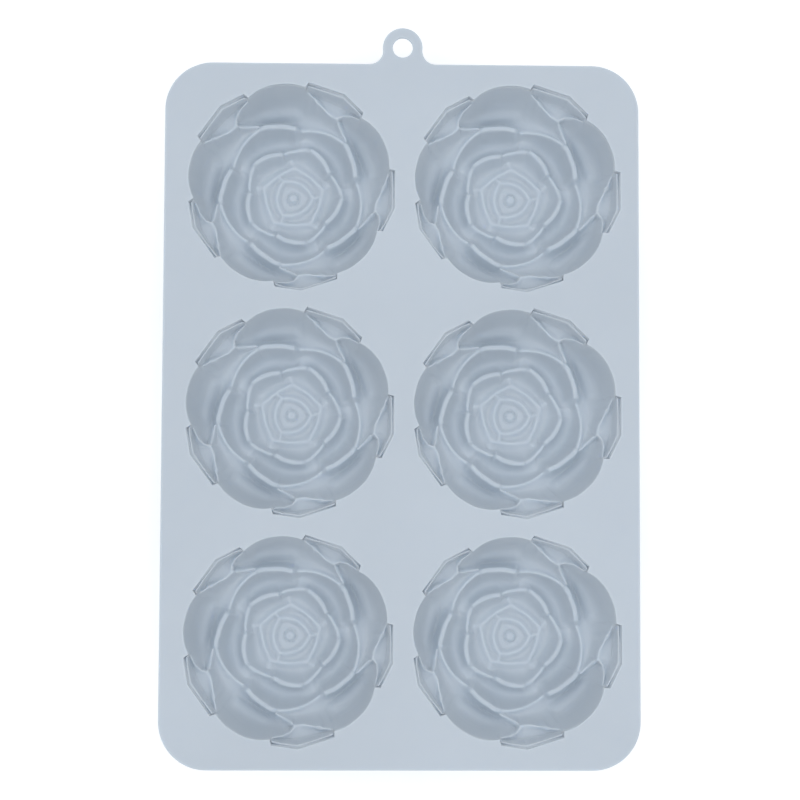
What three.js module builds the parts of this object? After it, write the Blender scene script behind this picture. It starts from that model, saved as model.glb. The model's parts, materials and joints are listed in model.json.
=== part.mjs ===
// A silicone soap mould with six rose cavities and a hanging tab.
// Millimetres, +Z up. The origin is the middle of the footprint, on the surface that the cups stand on,
// and +Y runs to the hanging tab. The mould is used this way up: soap is poured in from above.
import * as THREE from "three";

// The flat sheet that the cavities open through
const sheetWidth = 175;
const sheetLength = 259;
const sheetThickness = 2;
const sheetCorner = 17.5;
const cornerSteps = 8;

// The hanging tab, on the middle of the sheet's +Y edge
const tabRadius = 7.35;
const tabHoleRadius = 3.7;
const tabHoleRise = 6.2;
const tabFillet = 5;
const tabSteps = 10;

// The cups, two across and three along. Their grid sits slightly off the sheet's middle.
const cupPitch = 83.4;
const cupGridX = 0.6;
const cupGridY = 0.6;
const cupColumns = ["left", "right"];
const cupRows = ["lower", "middle", "upper"];
const cavityDepth = 32;
const floorThickness = 3;
const cupWall = 2.4;
const footRadius = 17;
const bowlAngles = [0, 20, 40, 60, 78, 90];

// The rose has five petals in each layer, so a fifth of a turn is drawn and repeated.
const petals = 5;
const petalTurn = 360 / petals;
const petalSteps = [10, 14, 24, 34, 43, 46, 53, 60, 70, 80.5];

const totalHeight = cavityDepth + floorThickness;
const sheetUnderside = totalHeight - sheetThickness;
const tabReach = tabHoleRise + tabRadius;
const sheetCentreY = -tabReach / 2;

// The cavity's mouth: a plain arc, then an outer petal's tip with straight edges and square ends.
// Knots are [angle in degrees, distance from the cup's axis].
const mouth = [
  [10, 36.8],
  [14, 37.2],
  [24, 37.8],
  [34, 37.4],
  [43, 36.2],
  [46, 38],
  [60, 39.2],
  [80.5, 38.8],
];

// The lines round the cavity that the petals meet and turn on, from the middle outwards.
// Knots are [angle in degrees, distance from the cup's axis, depth below the sheet's top].
const coreRidge = [[10, 6.4, 30]];
const bud = [
  [16.5, 11.5, 29.6],
  [52.5, 10.3, 30.8],
];
const innerCrevice = [
  [16, 17.4, 26.2],
  [30, 16.7, 25.8],
  [34, 16.5, 23.8],
  [53, 17.8, 23.2],
  [70, 18.6, 23],
  [74, 18.3, 25.2],
];
const innerLip = [
  [16, 20.4, 27.5],
  [24, 20.8, 28.4],
  [44, 21.7, 28.4],
  [60, 22.5, 28.3],
  [76, 22.5, 26.6],
];
const outerCrevice = [
  [14, 24.7, 18.4],
  [24, 25.6, 18.2],
  [43, 27.2, 18.3],
  [46, 27.2, 20.2],
  [60, 26.5, 22],
  [80.5, 24.9, 24],
];
const outerLip = [
  [14, 29.8, 23.2],
  [24, 30, 23.4],
  [40, 30.4, 22.8],
  [46, 27.9, 21.5],
  [60, 28, 23.8],
  [72, 29.2, 24],
];
const petalEdge = [
  [10, 33, 20.3],
  [40, 32.8, 20.6],
  [46, 28.8, 18.7],
  [53, 30.2, 16.8],
  [60, 33.2, 17.8],
  [80.5, 33.3, 19],
];
const petalBack = [
  [10, 35, 14.5],
  [24, 35.2, 14],
  [43, 33.8, 15],
  [46, 33.4, 20],
  [53, 34.4, 16],
  [60, 36.8, 12],
  [80.5, 36.5, 12.5],
];
const creviceHalfWidth = 0.85;

const silicone = { color: 0xbcc8d4, roughness: 0.6, metalness: 0 };

// The knots' values at an angle, with straight steps between knots and the pattern repeating each petal.
function between(knots, angle) {
  const ahead = (at) => THREE.MathUtils.euclideanModulo(at - angle, petalTurn);
  const turned = knots.map(([at, ...values]) => [ahead(at), ...values]);
  turned.sort((a, b) => a[0] - b[0]);
  const [after] = turned;
  const before = turned[turned.length - 1];
  if (after[0] === 0 || turned.length === 1) return after.slice(1);
  const back = petalTurn - before[0];
  const share = back / (back + after[0]);
  return after.slice(1).map((value, i) => before[i + 1] + (value - before[i + 1]) * share);
}

// A closed ring of points round the cup's axis, from a function of angle that gives [radius, depth].
function ringOf(lineAt) {
  const points = [];
  for (let petal = 0; petal < petals; petal += 1) {
    for (const step of petalSteps) {
      const angle = step + petal * petalTurn;
      const [radius, depth] = lineAt(angle);
      const turn = THREE.MathUtils.degToRad(angle);
      points.push(new THREE.Vector3(radius * Math.cos(turn), radius * Math.sin(turn), totalHeight - depth));
    }
  }
  return points;
}

// A line of the relief, moved outwards by offset.
function relief(knots, offset = 0) {
  return ringOf((angle) => {
    const [radius, depth] = between(knots, angle);
    return [radius + offset, depth];
  });
}

// One ring of the cup's outside, a quarter ellipse from the sheet's underside to the flat foot.
function bowl(bowlAngle) {
  const fall = THREE.MathUtils.degToRad(bowlAngle);
  return ringOf((angle) => {
    const widest = between(mouth, angle)[0] + cupWall;
    const radius = footRadius + (widest - footRadius) * Math.cos(fall);
    return [radius, sheetThickness + (totalHeight - sheetThickness) * Math.sin(fall)];
  });
}

// A closed skin over rings that run from one point on the axis to the other.
function skin(firstPoint, rings, lastPoint) {
  const around = rings[0].length;
  const corners = [firstPoint, ...rings.flat(), lastPoint];
  const last = corners.length - 1;
  const faces = [];
  for (let i = 0; i < around; i += 1) {
    const next = (i + 1) % around;
    faces.push(0, 1 + i, 1 + next);
    for (let ring = 0; ring < rings.length - 1; ring += 1) {
      const inner = 1 + ring * around;
      const outer = inner + around;
      faces.push(inner + i, outer + i, outer + next);
      faces.push(inner + i, outer + next, inner + next);
    }
    faces.push(last - around + i, last, last - around + next);
  }
  const geometry = new THREE.BufferGeometry().setFromPoints(corners);
  geometry.setIndex(faces);
  geometry.computeVertexNormals();
  return geometry;
}

// One cup: the rose relief inside and a plain round bowl with a flat foot outside.
function cupGeometry() {
  const deepest = new THREE.Vector3(0, 0, floorThickness);
  const underneath = new THREE.Vector3(0, 0, 0);
  const mouthRing = ringOf((angle) => [between(mouth, angle)[0], sheetThickness]);
  const rings = [
    relief(coreRidge),
    relief(bud),
    relief(innerCrevice, -creviceHalfWidth),
    relief(innerCrevice, creviceHalfWidth),
    relief(innerLip),
    relief(outerCrevice, -creviceHalfWidth),
    relief(outerCrevice, creviceHalfWidth),
    relief(outerLip),
    relief(petalEdge),
    relief(petalBack),
    mouthRing,
    ...bowlAngles.map(bowl),
  ];
  return skin(deepest, rings, underneath);
}

// A rectangle with round corners, centred on the origin.
function roundedRectangle(width, length, corner) {
  const x = width / 2 - corner;
  const y = length / 2 - corner;
  const shape = new THREE.Shape();
  shape.absarc(x, y, corner, 0, Math.PI / 2, false);
  shape.absarc(-x, y, corner, Math.PI / 2, Math.PI, false);
  shape.absarc(-x, -y, corner, Math.PI, 1.5 * Math.PI, false);
  shape.absarc(x, -y, corner, 1.5 * Math.PI, 2 * Math.PI, false);
  shape.closePath();
  return shape;
}

// The middle of each cup, measured from the sheet's centre.
function cupPlaces() {
  const places = [];
  cupRows.forEach((rowName, row) => {
    cupColumns.forEach((columnName, column) => {
      places.push({
        name: `rose_cup_${rowName}_${columnName}`,
        x: cupGridX + (column - (cupColumns.length - 1) / 2) * cupPitch,
        y: cupGridY + (row - (cupRows.length - 1) / 2) * cupPitch,
      });
    });
  });
  return places;
}

function sheetGeometry(places) {
  const shape = roundedRectangle(sheetWidth, sheetLength, sheetCorner);
  for (const { x, y } of places) {
    const edge = ringOf((angle) => between(mouth, angle));
    shape.holes.push(new THREE.Path(edge.map((point) => new THREE.Vector2(point.x + x, point.y + y))));
  }
  return new THREE.ExtrudeGeometry(shape, {
    depth: sheetThickness,
    bevelEnabled: false,
    curveSegments: cornerSteps,
  });
}

// The tab's base line lies on y = 0, and fillets lead from it into the round eye.
function tabGeometry() {
  const filletX = Math.sqrt((tabRadius + tabFillet) ** 2 - (tabHoleRise - tabFillet) ** 2);
  const lean = Math.atan2(tabHoleRise - tabFillet, filletX);
  const shape = new THREE.Shape();
  shape.moveTo(filletX, 0);
  shape.absarc(filletX, tabFillet, tabFillet, -Math.PI / 2, Math.PI - lean, true);
  shape.absarc(0, tabHoleRise, tabRadius, -lean, Math.PI + lean, false);
  shape.absarc(-filletX, tabFillet, tabFillet, lean, -Math.PI / 2, true);
  shape.closePath();
  const eye = new THREE.Path();
  eye.absarc(0, tabHoleRise, tabHoleRadius, 0, 2 * Math.PI, true);
  shape.holes.push(eye);
  return new THREE.ExtrudeGeometry(shape, {
    depth: sheetThickness,
    bevelEnabled: false,
    curveSegments: tabSteps,
  });
}

function part(name, geometry, x, y, z) {
  const mesh = new THREE.Mesh(geometry, new THREE.MeshStandardMaterial(silicone));
  mesh.name = name;
  mesh.position.set(x, y, z);
  return mesh;
}

const mould = new THREE.Group();
const places = cupPlaces();
mould.add(part("sheet", sheetGeometry(places), 0, sheetCentreY, sheetUnderside));
mould.add(part("hanging_tab", tabGeometry(), 0, sheetCentreY + sheetLength / 2, sheetUnderside));
for (const { name, x, y } of places) {
  mould.add(part(name, cupGeometry(), x, sheetCentreY + y, 0));
}

export default mould;
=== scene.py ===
"""A silicone soap mould with six rose cavities, lying on a pale floor, seen from above its open side."""

import json
import math

import bmesh
import bpy
import numpy as np
from mathutils import Euler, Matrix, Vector


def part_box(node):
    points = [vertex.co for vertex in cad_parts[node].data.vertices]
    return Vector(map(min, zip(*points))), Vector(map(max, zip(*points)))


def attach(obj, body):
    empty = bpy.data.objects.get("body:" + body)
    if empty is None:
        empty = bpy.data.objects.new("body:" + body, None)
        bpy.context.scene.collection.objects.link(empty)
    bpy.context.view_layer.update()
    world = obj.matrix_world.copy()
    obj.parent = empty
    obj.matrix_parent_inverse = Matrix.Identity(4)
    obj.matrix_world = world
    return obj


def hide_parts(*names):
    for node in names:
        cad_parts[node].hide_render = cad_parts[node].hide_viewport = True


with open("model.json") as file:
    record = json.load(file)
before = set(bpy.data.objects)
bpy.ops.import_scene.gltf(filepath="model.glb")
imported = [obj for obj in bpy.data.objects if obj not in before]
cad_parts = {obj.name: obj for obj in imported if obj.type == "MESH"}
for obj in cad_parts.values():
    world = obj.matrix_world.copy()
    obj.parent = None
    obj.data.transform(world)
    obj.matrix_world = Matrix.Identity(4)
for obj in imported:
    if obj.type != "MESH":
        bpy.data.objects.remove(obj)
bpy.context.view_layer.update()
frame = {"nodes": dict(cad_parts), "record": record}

# ---------------------------------------------------------------- driving sizes, in millimetres and degrees
MM = 0.001
CUPS = [name for name in frame["nodes"] if name.startswith("rose_cup")]

SHEET_CORNER = 17.5
SHEET_EDGE = 0.5
MOUTH_EDGE = 0.35
TAB_RADIUS = 7.35
TAB_HOLE = 3.7
TAB_HOLE_RISE = 6.2
TAB_FILLET = 5.0
CUP_WALL = 2.4
CUP_FOOT = 17.0
CUP_FOOT_EDGE = 0.8
CUP_FOOT_CHAMFER = 0.03
CUP_FILLET = 1.6
CUP_FILLET_START = 25
CUP_FILLET_STEPS = 4
CUP_BOWL_END = 84
CUP_BOWL_STEPS = 16
# How many columns each way the bowl's outline is averaged over, which rounds off the petals' tips.
CUP_OUTLINE_BLUR = 6

# The rose: five petals in each layer, so everything round it repeats every fifth of a turn.
PETALS = 5
TURN = 360 / PETALS

# The cavity's mouth: a plain arc, as (angle, radius), then the straight-edged tip of an outer petal.
MOUTH_ARC = [(0, 34.5), (10, 36.8), (20, 37.7), (28, 37.8), (36, 37.3), (44, 36.0), (60, 32.0)]
MOUTH_TIP = [(44.2, 36.0), (45.6, 38.0), (60, 39.2), (80.5, 38.8), (82, 36.8)]

# Rings of the relief, from the middle out, as (angle, radius, depth), and for a crest its half width too.
# A crest stands where two petals of the cast rose meet, and a lip is the hollow of a petal's rolled rim.
# The depths are set so that the relief shades as the real one does. They aren't measured.
DEEPEST = 31.4
HEART = 9.0
HEART_DEPTH = 31.2
BUD = [
    (16.5, 11.6, 29.5, 0.5),
    (34, 10.6, 29.7, 0.45),
    (52.5, 10.35, 29.8, 0.45),
    (71, 10.6, 29.7, 0.45),
]
BUD_LIP = [(16.5, 13.9, 30.4), (22, 13.2, 31.0), (52.5, 12.8, 31.4), (80, 13.8, 30.8)]
INNER = [
    (29.5, 16.6, 25.2, 0.4),
    (33.6, 16.5, 23.6, 0.8),
    (44, 17.2, 23.3, 0.95),
    (53, 17.8, 22.9, 0.95),
    (64, 18.4, 22.6, 0.8),
    (68.5, 18.6, 23.0, 0.7),
    (72, 18.5, 24.2, 0.6),
    (88, 17.4, 25.2, 0.6),
    (96, 16.95, 25.4, 0.55),
]
INNER_LIP = [
    (14, 20.0, 27.6),
    (24, 20.8, 29.2),
    (34, 21.3, 29.8),
    (46, 21.6, 29.8),
    (60, 22.0, 28.8),
    (72, 22.4, 27.0),
    (79, 22.5, 26.6),
]
OUTER = [
    (11, 24.75, 21.8, 0.5),
    (15.4, 24.8, 18.2, 0.9),
    (24, 25.6, 17.8, 1.05),
    (33, 26.3, 17.8, 1.05),
    (42.4, 27.2, 18.0, 0.9),
    (45.6, 27.2, 18.9, 0.6),
    (52, 26.95, 19.3, 0.5),
    (60, 26.5, 20.0, 0.45),
    (68, 26.0, 21.0, 0.45),
    (76, 25.3, 21.9, 0.45),
]
# The outer petal's lip is a spiral: it starts behind its neighbour and runs on past the next petal's start.
PETAL_START = 43.5
PETAL_HIDES = 57.3
OUTER_LIP = [
    (36, 28.0, 19.4),
    (44, 28.3, 19.6),
    (50, 28.7, 20.2),
    (58, 28.8, 21.0),
    (66, 28.9, 21.6),
    (74, 29.0, 22.4),
    (82, 28.9, 23.6),
    (92, 28.8, 25.0),
    (102, 29.3, 25.6),
    (110, 30.0, 24.8),
    (117, 31.0, 21.8),
    (124, 32.2, 18.6),
    (132, 33.0, 16.4),
]
BRANCH = [
    (43.5, 28.0, 18.5, 0.35),
    (46, 28.6, 18.4, 0.6),
    (50, 29.5, 17.8, 0.65),
    (54, 30.7, 16.4, 0.7),
    (57.3, 31.9, 14.6, 0.8),
    (60, 33.0, 14.0, 0.6),
]
# The crest in front of a petal's tip, as (angle, radius, half width).
TIP_CREST = [
    (44.4, 35.9, 0.05),
    (47, 35.6, 0.1),
    (50.5, 35.3, 0.15),
    (54, 34.8, 0.6),
    (55.8, 33.9, 0.15),
    (57.3, 32.6, 0.5),
    (60, 31.8, 0.1),
    (64.5, 32.1, 0.4),
    (70, 33.2, 0.1),
    (74.5, 34.7, 0.8),
    (77, 35.3, 0.1),
    (80, 36.2, 0.1),
    (82, 36.8, 0.05),
]
# How far down the plain wall stops: at the sheet, or at the crest in front of a petal's tip.
WALL_TOP = [
    (18, 2.0),
    (38, 2.0),
    (44.4, 3.8),
    (50.5, 7.6),
    (54, 10.2),
    (57.3, 12.2),
    (60, 12.8),
    (64.5, 12.4),
    (70, 11.4),
    (74.5, 10.0),
    (80, 6.6),
    (84, 4.2),
]
# How strongly the plain wall steps half way up, as (angle, share of its height).
WALL_SHOULDER = [(9.9, 0.0), (16, 0.07), (37, 0.07), (48, 0.0), (62, 0.0)]
# The pocket between a petal tip's crest and the mouth, as (angle, radius, depth).
TIP_POCKET = [
    (44.4, 36.0, 5.0),
    (47, 36.6, 7.0),
    (51, 37.0, 9.6),
    (60, 37.1, 13.2),
    (68, 37.1, 13.0),
    (76, 37.1, 10.6),
    (80, 37.0, 7.2),
    (82, 36.85, 5.4),
]
# A smooth ring just inside the mouth, which the mesh follows.
WALL_RING = [(16, 34.8), (28, 35.6), (40, 34.8), (50, 33.6), (60, 31.6), (68, 32.6), (76, 34.2)]
# A fine rim and groove follow the tip's straight edges.
RIM_WIDTH = 0.6
RIM_DEPTH = 2.2
RIM_FADE = 1.5
GROOVE_WIDTH = 0.7
GROOVE_DEPTH = 3.8
GROOVE_WALL = 0.15
POCKET_FLAT = 0.45

# Small folds where a petal's edge starts, as (angle, radius, height above the sheet's top).
INNER_FOLD = [(80, 20.9, -27.2), (79.2, 21.6, -26.9), (78.6, 22.2, -26.5)]
BUD_FOLD = [(18.5, 13.0, -29.8), (19.5, 13.6, -29.6), (20.5, 14.2, -29.3)]

# The heart: three small petals round a stud.
HEART_PETALS = 3
HEART_ARC = [(0, 7.5), (20, 6.7), (40, 6.3), (60, 6.2), (80, 6.3), (100, 6.7), (120, 7.5)]
HEART_ARC_HEIGHT = -29.8
HEART_SPUR = [(0, 7.5, -30.1), (2, 8.7, -30.1), (4, 10.0, -29.7)]
STUD_RADIUS = 1.4
STUD_HEIGHT = -29.7
STUD_GROOVE = 2.4


# The camera, from the middle of the sheet's top, and the studio's cool light
CAMERA_PLACE = (-17.3, -40.1, 700)
CAMERA_TURN = (3.667, -1.389, 0.233)
CAMERA_ANGLE = 23.57
LIGHT_COLOUR = (0.975, 1.0, 1.037)
SKY_STRENGTH = 0.59
SOFTBOX_PLACE = (-20, -20, 1000)
SOFTBOX_SIZE = 1200
SOFTBOX_WATTS = 4.0
FLOOR_SIZE = 6000


# ---------------------------------------------------------------- curves through knots
def smooth_steps(at, values, where):
    """A curve through the knots that never overshoots them."""
    gap = np.diff(at)
    slope = np.diff(values) / gap
    total = slope[:-1] + slope[1:]
    same_way = slope[:-1] * slope[1:] > 0
    tangent = np.zeros_like(values)
    tangent[1:-1] = np.where(same_way, 2 * slope[:-1] * slope[1:] / np.where(total == 0, 1, total), 0)
    i = np.clip(np.searchsorted(at, where, side="right") - 1, 0, len(at) - 2)
    t = np.clip((where - at[i]) / gap[i], 0, 1)
    return (
        (2 * t**3 - 3 * t**2 + 1) * values[i]
        + (t**3 - 2 * t**2 + t) * gap[i] * tangent[i]
        + (3 * t**2 - 2 * t**3) * values[i + 1]
        + (t**3 - t**2) * gap[i] * tangent[i + 1]
    )


def along(knots, angle):
    """Each value of the knots at the angles, held still past either end."""
    table = np.array(knots, float)
    return [smooth_steps(table[:, 0], column, angle) for column in table[:, 1:].T]


def around(knots, angle):
    """Each value of the knots at the angles, with the knots repeating every TURN."""
    before = [(knot[0] - TURN, *knot[1:]) for knot in knots[-2:]]
    after = [(knot[0] + TURN, *knot[1:]) for knot in knots[:2]]
    return along(before + list(knots) + after, (angle - knots[0][0]) % TURN + knots[0][0])


def soft_max(a, b, reach):
    """The larger of two heights, with a fillet where they meet."""
    near = np.maximum(reach - np.abs(a - b), 0) / reach
    return np.maximum(a, b) + near * near * reach / 4


# ---------------------------------------------------------------- the rose's relief
def mouth_radius(angle):
    angle = (angle - 10) % TURN + 10
    radius = along(MOUTH_ARC, angle)[0]
    ray = np.exp(1j * np.radians(angle))
    for (a0, r0), (a1, r1) in zip(MOUTH_TIP[:-1], MOUTH_TIP[1:]):
        start = r0 * np.exp(1j * math.radians(a0))
        edge = r1 * np.exp(1j * math.radians(a1)) - start
        straight = np.imag(np.conj(edge) * start) / np.imag(np.conj(edge) * ray)
        radius = np.where((angle >= a0) & (angle <= a1), straight, radius)
    return radius


def fold(x, y, points, half_width, fall):
    """Height of a rounded ridge that runs through the points, given as (angle, radius, height)."""
    table = np.array(points, float)
    at = np.arange(len(table), dtype=float)
    fine = np.linspace(0, len(table) - 1, 4 * (len(table) - 1) + 1)
    turn = np.radians(table[:, 0])
    columns = (table[:, 1] * np.cos(turn), table[:, 1] * np.sin(turn), table[:, 2])
    px, py, pz = (smooth_steps(at, column, fine) for column in columns)
    nearest = np.full(x.shape, 1e9)
    top = np.zeros(x.shape)
    for i in range(len(px) - 1):
        dx, dy = px[i + 1] - px[i], py[i + 1] - py[i]
        t = np.clip(((x - px[i]) * dx + (y - py[i]) * dy) / (dx * dx + dy * dy), 0, 1)
        gap = np.hypot(x - px[i] - t * dx, y - py[i] - t * dy)
        top = np.where(gap < nearest, pz[i] + t * (pz[i + 1] - pz[i]), top)
        nearest = np.minimum(nearest, gap)
    return top - fall * soft_max(nearest - half_width, 0 * nearest, 0.5)


def stations(angle):
    """The relief's profile at each angle, from the middle out.

    Each station is a radius, a depth, and the form and power of the run on to the next one.
    """
    full = mouth_radius(angle)
    none = 0 * full
    starts = angle >= PETAL_START
    hides = angle < PETAL_HIDES
    tip = (angle > TIP_CREST[0][0]) & (angle < TIP_CREST[-1][0])
    wall_d = around(WALL_TOP, angle)[0]
    bud_r, bud_d, bud_h = around(BUD, angle)
    bud_lip_r, bud_lip_d = around(BUD_LIP, angle)
    inner_r, inner_d, inner_h = around(INNER, angle)
    inner_lip_r, inner_lip_d = around(INNER_LIP, angle)
    outer_r, outer_d, outer_h = around(OUTER, angle)
    new_r, new_d = along(OUTER_LIP, angle)
    old_r, old_d = along(OUTER_LIP, angle + TURN)
    branch_r, branch_d, branch_h = along(BRANCH, angle)
    tip_r, tip_h = along(TIP_CREST, angle)
    pocket_r, pocket_d = along(TIP_POCKET, angle)

    edge = outer_r + outer_h
    wall = np.where(tip, tip_r - tip_h, full)
    share = np.where(tip, np.clip((full - tip_r) / RIM_FADE, 0, 1), 0)
    groove_in = full - share * GROOVE_WIDTH
    rim_in = full - share * (GROOVE_WIDTH + RIM_WIDTH)
    groove_d = 2 + share * (GROOVE_DEPTH - 2)
    pocket_in = tip_r + tip_h + POCKET_FLAT * (pocket_r - tip_r - tip_h)
    both = starts & hides
    lip_r = np.where(starts, np.maximum(new_r, edge + 0.3), edge)
    lip_d = np.where(starts, new_d, outer_d)
    after_lip = np.where(starts, wall, edge)
    crest_in = np.where(both, np.maximum(branch_r - branch_h, edge + 0.5), after_lip)
    crest_out = np.where(both, np.maximum(branch_r + branch_h, edge + 0.8), after_lip)
    crest_d = np.where(both, branch_d, np.where(starts, wall_d, outer_d))
    old_in = np.where(hides, np.minimum(old_r, wall - 0.3), wall)
    return [
        (none, none + DEEPEST, "flat", 1),
        (none + HEART, none + HEART_DEPTH, "rise", 1.0),
        (bud_r - bud_h, bud_d, "flat", 1),
        (bud_r + bud_h, bud_d, "drop", 2.0),
        (bud_lip_r, bud_lip_d, "rise", 2.0),
        (inner_r - inner_h, inner_d, "flat", 1),
        (inner_r + inner_h, inner_d, "drop", 2.6),
        (inner_lip_r, inner_lip_d, "rise", 2.1),
        (outer_r - outer_h, outer_d, "flat", 1),
        (edge, outer_d, "drop", 3.2),
        (lip_r, lip_d, "rise", 2.0),
        (crest_in, crest_d, "flat", 1),
        (crest_out, crest_d, "drop", 3.2),
        (old_in, np.where(hides, old_d, wall_d), "wall", 1),
        (wall, wall_d, "flat", 1),
        (np.where(tip, tip_r + tip_h, full), wall_d, "drop", 1.8),
        (np.where(tip, pocket_in, full), np.where(tip, pocket_d, wall_d), "flat", 1),
        (np.where(tip, pocket_r, full), np.where(tip, pocket_d, wall_d), "rise", 1.5),
        (rim_in, np.where(tip, RIM_DEPTH, 2.0), "flat", 1),
        (groove_in, np.where(tip, RIM_DEPTH, 2.0), "drop", 3.0),
        (full - share * GROOVE_WALL, groove_d, "flat", 1),
        (full, groove_d, "flat", 1),
    ]


def relief(angle, radius):
    """Height from the sheet's top, for angles from 10 to 82 and radii, in arrays of one shape."""
    profile = stations(angle)
    full = profile[-1][0]
    shoulder = around(WALL_SHOULDER, angle)[0]
    depth = 0 * full + 2.0
    start = profile[0][0]
    for (_, d0, form, power), (end, d1, _, _) in zip(profile[:-1], profile[1:]):
        end = np.maximum(start, np.minimum(end, full))
        t = np.clip((radius - start) / np.maximum(end - start, 1e-6), 0, 1)
        if form == "flat":
            run = t
        elif form == "drop":
            run = 1 - (1 - t) ** power
        elif form == "rise":
            run = t**power
        else:
            run = 0.4 * t**1.4 + 0.6 * t**3.2 + shoulder * np.sin(2 * math.pi * t**0.85)
        depth = np.where((radius >= start) & (radius < end), d0 + (d1 - d0) * run, depth)
        start = end
    height = -depth
    x = radius * np.cos(np.radians(angle))
    y = radius * np.sin(np.radians(angle))
    for turn in (-TURN, 0, TURN):
        for points, half_width, fall in ((INNER_FOLD, 0.5, 0.7), (BUD_FOLD, 0.4, 0.6)):
            turned = [(a + turn, r, z) for a, r, z in points]
            height = soft_max(height, fold(x, y, turned, half_width, fall), 0.3)
    return height


def heart(x, y, height):
    """Adds the three small petals in the middle, and the round stud."""
    for petal in range(HEART_PETALS):
        turn = 360 / HEART_PETALS * petal
        arc = [(a + turn, r, HEART_ARC_HEIGHT) for a, r in HEART_ARC]
        spur = [(a + turn, r, z) for a, r, z in HEART_SPUR]
        height = soft_max(height, fold(x, y, arc, 0.45, 1.3), 0.4)
        height = soft_max(height, fold(x, y, spur, 0.2, 0.9), 0.4)
    radius = np.hypot(x, y)
    height = soft_max(height, STUD_HEIGHT - 2.5 * np.maximum(radius - STUD_RADIUS, 0), 0.4)
    return height - 0.7 * np.exp(-(((radius - STUD_GROOVE) / 0.35) ** 2))


# ---------------------------------------------------------------- the cups' meshes
def sector_angles():
    """Angles of one petal's turn, with a column on each corner of the mouth."""
    corners = [10, 44.2, 45.6, 60, 80.5, 82]
    columns = [48, 4, 20, 28, 4]
    spans = [np.linspace(a, b, n, endpoint=False) for a, b, n in zip(corners[:-1], corners[1:], columns)]
    return np.concatenate(spans)


def all_angles():
    return np.concatenate([sector_angles() + TURN * petal for petal in range(PETALS)])


def grid_radii(angle):
    """Radii of the relief's grid, a row for each ring, with rows along the crests."""
    guides = [
        0 * angle,
        0 * angle + HEART,
        around(BUD, angle)[0],
        around(INNER, angle)[0],
        around(OUTER, angle)[0],
        around(WALL_RING, angle)[0],
        mouth_radius(angle),
    ]
    counts = [30, 8, 24, 34, 32, 24]
    rows = []
    for inner, outer, count in zip(guides[:-1], guides[1:], counts):
        rows += [inner + (outer - inner) * step / count for step in range(1, count + 1)]
    return np.array(rows)


def soften(height, radii, passes):
    """Rounds the relief a little, as moulding does. Rows are rings, and columns go round."""
    level = np.abs(np.roll(radii, 1, 1) - np.roll(radii, -1, 1)) < 0.2
    for _ in range(passes):
        beside = (np.roll(height, 1, 1) + 2 * height + np.roll(height, -1, 1)) / 4
        height = np.where(level, beside, height)
        height[1:-1] = (height[:-2] + 2 * height[1:-1] + height[2:]) / 4
    return height


def cup_rings(thickness, total):
    """The cup's skin as rings of points, from the relief's middle, over the rim and down to the foot."""
    sector = sector_angles()
    radii = grid_radii(sector)
    heights = relief(np.broadcast_to(sector, radii.shape), radii)
    radii = np.tile(radii, PETALS)
    heights = np.tile(heights, PETALS)
    turn = np.radians(all_angles())
    x = radii * np.cos(turn)
    y = radii * np.sin(turn)
    heights = soften(np.where(radii < 11, heart(x, y, heights), heights), radii, 2)
    heights[-1] = -thickness
    heights = np.minimum(heights, -thickness)
    rings = [np.stack(ring, 1) for ring in zip(x, y, heights)]
    mouth = radii[-1]
    blur = range(-CUP_OUTLINE_BLUR, CUP_OUTLINE_BLUR + 1)
    body = np.mean([np.roll(mouth, k) for k in blur], 0) + CUP_WALL
    for radius, z in outside_profile(body, thickness, total):
        rings.append(np.stack([radius * np.cos(turn), radius * np.sin(turn), 0 * turn + z], 1))
    return rings


def outside_profile(body, thickness, total):
    """Rings of the cup's outside: a fillet under the sheet, a round bowl, and a soft edge at the foot.

    The fillet stops short of lying flush with the sheet, where the two would shade badly. Its first ring is
    close to the edge, so that smooth shading across the edge stays within a hair's width.
    """
    profile = []
    bowl = total - thickness
    profile.append((body + CUP_FILLET * 0.8, -thickness))
    profile.append((body + CUP_FILLET * 0.78, -thickness - 0.04))
    for step in range(CUP_FILLET_STEPS + 1):
        turn = math.radians(CUP_FILLET_START + (90 - CUP_FILLET_START) * step / CUP_FILLET_STEPS)
        out = CUP_FILLET * (1 - math.sin(turn))
        profile.append((body + out, -thickness - CUP_FILLET * (1 - math.cos(turn))))
    first = math.asin(CUP_FILLET / bowl)
    last = math.radians(CUP_BOWL_END)
    for step in range(1, CUP_BOWL_STEPS + 1):
        fall = first + (last - first) * step / CUP_BOWL_STEPS
        radius = CUP_FOOT + (body - CUP_FOOT) * math.cos(fall)
        profile.append((radius, -thickness - bowl * math.sin(fall)))
    profile.append((profile[-1][0] - CUP_FOOT_EDGE, -total + CUP_FOOT_CHAMFER))
    profile.append((profile[-1][0] - CUP_FOOT_EDGE, -total))
    return profile


def ring_share(number):
    """One point in this many of a ring is kept: a quarter near the axis, then half, then all."""
    if number < 8:
        return 4
    if number < 24:
        return 2
    return 1


def skin(rings, first, last):
    """Vertices and faces of a closed skin over the rings, from a first to a last point on the axis."""
    vertices = [first]
    starts = []
    for number, ring in enumerate(rings):
        share = ring_share(number)
        starts.append((len(vertices), len(ring) // share))
        vertices += [tuple(point) for point in ring[::share]]
    vertices.append(last)
    begin, count = starts[0]
    faces = [(0, begin + i, begin + (i + 1) % count) for i in range(count)]
    for (a, inner), (b, outer) in zip(starts[:-1], starts[1:]):
        for i in range(inner):
            j = (i + 1) % inner
            if inner == outer:
                faces.append((a + i, b + i, b + j, a + j))
            else:
                faces.append((a + i, b + 2 * i, b + 2 * i + 1))
                faces.append((a + i, b + 2 * i + 1, a + j))
                faces.append((a + j, b + 2 * i + 1, b + (2 * i + 2) % outer))
    begin, count = starts[-1]
    end = len(vertices) - 1
    faces += [(begin + i, end, begin + (i + 1) % count) for i in range(count)]
    return vertices, faces


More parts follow.
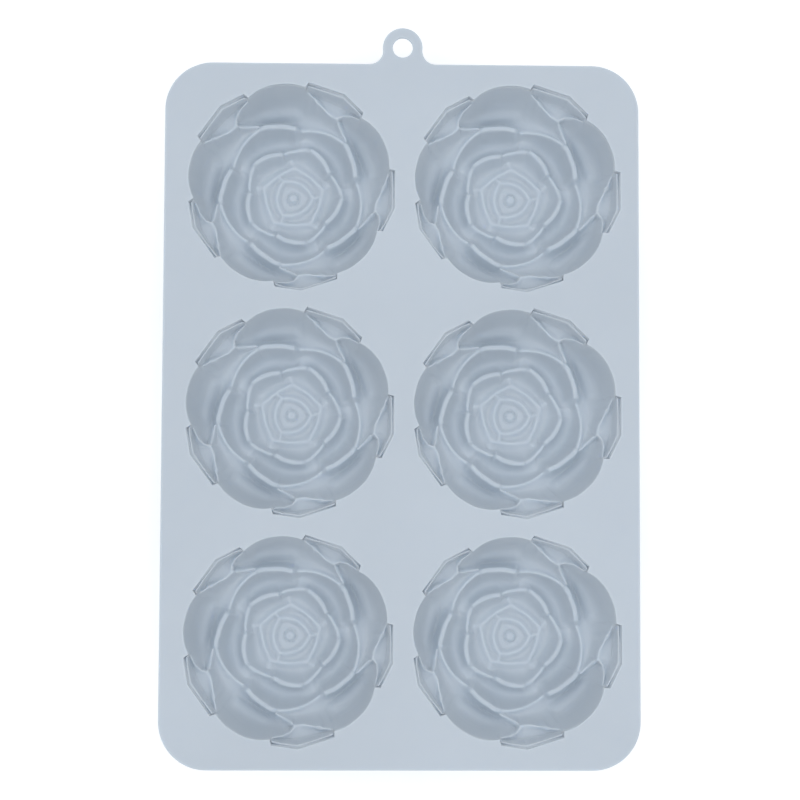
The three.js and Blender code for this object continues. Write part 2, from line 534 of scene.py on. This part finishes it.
def cup_axis(node):
    """The point on the cup's axis that lies level with the sheet's top."""
    foot = next(mount for mount in frame["record"]["mounts"] if mount["name"] == "cup_foot")
    middle_low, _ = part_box("rose_cup_middle_left")
    low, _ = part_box(node)
    shift = low - middle_low
    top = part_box("sheet")[1].z
    return Vector((foot["pos_m"][0] + shift.x, foot["pos_m"][1] + shift.y, top))


# ---------------------------------------------------------------- the sheet and the tab
def profile_rings(points, inwards, edge, low, high):
    """Rings down a plate's rounded side, from its top face to its bottom face."""
    turns = [math.radians(angle) for angle in (0, 30, 60, 90)]
    rounds = [(1.6, 0.0)] + [(1 - math.sin(turn), 1 - math.cos(turn)) for turn in turns]
    upper = [(inset * edge, high - drop * edge) for inset, drop in rounds]
    lower = [(inset, low + high - z) for inset, z in reversed(upper)]
    rings = []
    for inset, z in upper + lower:
        shifted = points + inwards * inset
        rings.append(np.column_stack([shifted, np.full(len(points), z)]))
    return rings


def plate(name, loops, low, high, material):
    """A closed flat plate. A loop is (points, direction into the plate, edge radius), the outline first."""
    mesh = bmesh.new()
    tops = []
    bottoms = []
    for points, inwards, edge in loops:
        rings = profile_rings(points, inwards, edge, low, high)
        rows = [[mesh.verts.new(point) for point in ring] for ring in rings]
        for upper, lower in zip(rows[:-1], rows[1:]):
            for i in range(len(upper)):
                j = (i + 1) % len(upper)
                mesh.faces.new((upper[i], lower[i], lower[j], upper[j]))
        for rim, row in ((tops, rows[0]), (bottoms, rows[-1])):
            rim += [mesh.edges.get((row[i], row[i - 1])) for i in range(len(row))]
    bmesh.ops.triangle_fill(mesh, edges=tops, use_beauty=True, normal=(0, 0, 1))
    bmesh.ops.triangle_fill(mesh, edges=bottoms, use_beauty=True, normal=(0, 0, -1))
    bmesh.ops.recalc_face_normals(mesh, faces=mesh.faces)
    data = bpy.data.meshes.new(name)
    mesh.to_mesh(data)
    mesh.free()
    return finished(name, data, material)


def inward_normals(points):
    """Unit directions to the left of a closed loop's path."""
    ahead = np.roll(points, -1, 0) - np.roll(points, 1, 0)
    left = np.column_stack([-ahead[:, 1], ahead[:, 0]])
    return left / np.linalg.norm(left, axis=1)[:, None]


def arc(centre, radius, start, end, steps):
    turn = np.radians(np.linspace(start, end, steps + 1))
    return np.column_stack([centre[0] + radius * np.cos(turn), centre[1] + radius * np.sin(turn)])


def tab_outline(level):
    """The tab's outline from its right root to its left: a fillet, the round end, and a fillet."""
    half = math.sqrt((TAB_RADIUS + TAB_FILLET) ** 2 - (TAB_HOLE_RISE - TAB_FILLET) ** 2)
    lean = math.degrees(math.atan2(TAB_HOLE_RISE - TAB_FILLET, half))
    return [
        arc((half, level + TAB_FILLET), TAB_FILLET, 270, 180 - lean, 12),
        arc((0, level + TAB_HOLE_RISE), TAB_RADIUS, -lean, 180 + lean, 48)[1:-1],
        arc((-half, level + TAB_FILLET), TAB_FILLET, lean, -90, 12),
    ]


def make_sheet(material):
    """The sheet and its hanging tab, which are moulded as one."""
    low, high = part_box("sheet")
    right = high.x / MM - SHEET_CORNER
    top = high.y / MM - SHEET_CORNER
    bottom = low.y / MM + SHEET_CORNER
    outline = np.concatenate(
        [
            arc((right, top), SHEET_CORNER, 0, 90, 24),
            *tab_outline(high.y / MM),
            arc((-right, top), SHEET_CORNER, 90, 180, 24),
            arc((-right, bottom), SHEET_CORNER, 180, 270, 24),
            arc((right, bottom), SHEET_CORNER, 270, 360, 24),
        ]
    )
    loops = [(outline * MM, inward_normals(outline), SHEET_EDGE * MM)]
    hole = arc((0, 0), 1, 0, 360, 48)[:-1]
    eye = np.array([0, high.y / MM + TAB_HOLE_RISE])
    loops.append(((eye + hole * TAB_HOLE) * MM, hole, MOUTH_EDGE * MM))
    turn = np.radians(all_angles())
    outwards = np.column_stack([np.cos(turn), np.sin(turn)])
    for node in CUPS:
        axis = cup_axis(node)
        edge = np.array([axis.x, axis.y]) + outwards * mouth_radius(all_angles())[:, None] * MM
        loops.append((edge, outwards, MOUTH_EDGE * MM))
    return plate("moulded_sheet", loops, low.z, high.z, material)


def finished(name, data, material):
    data.shade_smooth()
    data.materials.append(material)
    piece = bpy.data.objects.new(name, data)
    bpy.context.scene.collection.objects.link(piece)
    return piece


def make_cups(material):
    low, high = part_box("sheet")
    total = high.z / MM
    rings = cup_rings((high.z - low.z) / MM, total)
    vertices, faces = skin(rings, (0, 0, STUD_HEIGHT), (0, 0, -total))
    cups = []
    for node in CUPS:
        name = node.replace("rose_cup", "rose_cavity")
        data = bpy.data.meshes.new(name)
        placed = np.array(vertices) * MM + np.array(cup_axis(node))
        data.from_pydata(placed.tolist(), [], faces)
        cups.append((finished(name, data, material), (node,)))
    return cups


# ---------------------------------------------------------------- materials
def silicone():
    """Matte pale blue-grey rubber: cloudy in the mass, faintly mottled, with a fine blasted grain."""
    material = bpy.data.materials.new("silicone")
    material.use_nodes = True
    nodes = material.node_tree.nodes
    links = material.node_tree.links
    shader = nodes["Principled BSDF"]
    shader.inputs["Subsurface Weight"].default_value = 1.0
    shader.inputs["Subsurface Radius"].default_value = (1.0, 1.0, 1.0)
    shader.inputs["Subsurface Scale"].default_value = 0.0012
    place = nodes.new("ShaderNodeTexCoord")
    cloud = nodes.new("ShaderNodeTexNoise")
    cloud.inputs["Scale"].default_value = 14
    cloud.inputs["Detail"].default_value = 3
    tint = nodes.new("ShaderNodeValToRGB")
    tint.color_ramp.elements[0].position = 0.35
    tint.color_ramp.elements[0].color = (0.608, 0.664, 0.717, 1)
    tint.color_ramp.elements[1].position = 0.65
    tint.color_ramp.elements[1].color = (0.632, 0.689, 0.743, 1)
    grain = nodes.new("ShaderNodeTexNoise")
    grain.inputs["Scale"].default_value = 2600
    grain.inputs["Detail"].default_value = 2
    bump = nodes.new("ShaderNodeBump")
    bump.inputs["Strength"].default_value = 0.12
    bump.inputs["Distance"].default_value = 0.0001
    rough = nodes.new("ShaderNodeMapRange")
    rough.inputs["To Min"].default_value = 0.5
    rough.inputs["To Max"].default_value = 0.66
    links.new(place.outputs["Object"], cloud.inputs["Vector"])
    links.new(place.outputs["Object"], grain.inputs["Vector"])
    links.new(cloud.outputs["Fac"], tint.inputs["Fac"])
    links.new(cloud.outputs["Fac"], rough.inputs["Value"])
    links.new(grain.outputs["Fac"], bump.inputs["Height"])
    links.new(tint.outputs["Color"], shader.inputs["Base Color"])
    links.new(rough.outputs["Result"], shader.inputs["Roughness"])
    links.new(bump.outputs["Normal"], shader.inputs["Normal"])
    return material


def light_table():
    """A white floor that glows a little, as a product table lit from below does."""
    material = bpy.data.materials.new("light_table")
    material.use_nodes = True
    shader = material.node_tree.nodes["Principled BSDF"]
    shader.inputs["Base Color"].default_value = (0.95, 0.95, 0.95, 1)
    shader.inputs["Roughness"].default_value = 0.9
    shader.inputs["Emission Color"].default_value = (1, 1, 1, 1)
    shader.inputs["Emission Strength"].default_value = 0.3
    return material


# ---------------------------------------------------------------- the scene
def make_camera():
    data = bpy.data.cameras.new("camera")
    camera = bpy.data.objects.new("camera", data)
    bpy.context.scene.collection.objects.link(camera)
    low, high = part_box("sheet")
    middle = (low + high) / 2
    camera.location = Vector((middle.x, middle.y, high.z)) + Vector(CAMERA_PLACE) * MM
    camera.rotation_euler = Euler([math.radians(turn) for turn in CAMERA_TURN])
    data.angle = math.radians(CAMERA_ANGLE)
    data.clip_start = 0.01
    bpy.context.scene.camera = camera


def make_light():
    world = bpy.data.worlds.new("studio")
    world.use_nodes = True
    background = world.node_tree.nodes["Background"]
    background.inputs["Color"].default_value = (*LIGHT_COLOUR, 1)
    background.inputs["Strength"].default_value = SKY_STRENGTH
    bpy.context.scene.world = world
    data = bpy.data.lights.new("overhead_softbox", "AREA")
    data.shape = "DISK"
    data.size = SOFTBOX_SIZE * MM
    data.energy = SOFTBOX_WATTS
    data.color = LIGHT_COLOUR
    lamp = bpy.data.objects.new("overhead_softbox", data)
    lamp.location = Vector(SOFTBOX_PLACE) * MM
    bpy.context.scene.collection.objects.link(lamp)
    bpy.context.scene.view_settings.view_transform = "Standard"


def make_floor():
    bpy.ops.mesh.primitive_plane_add(size=FLOOR_SIZE * MM, location=(0, 0, 0))
    floor = bpy.context.object
    floor.name = "floor"
    floor.data.materials.append(light_table())


make_camera()
make_light()
make_floor()
rubber = silicone()
pieces = make_cups(rubber) + [(make_sheet(rubber), ("sheet", "hanging_tab"))]
for piece, nodes in pieces:
    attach(piece, "root")
    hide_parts(*nodes)
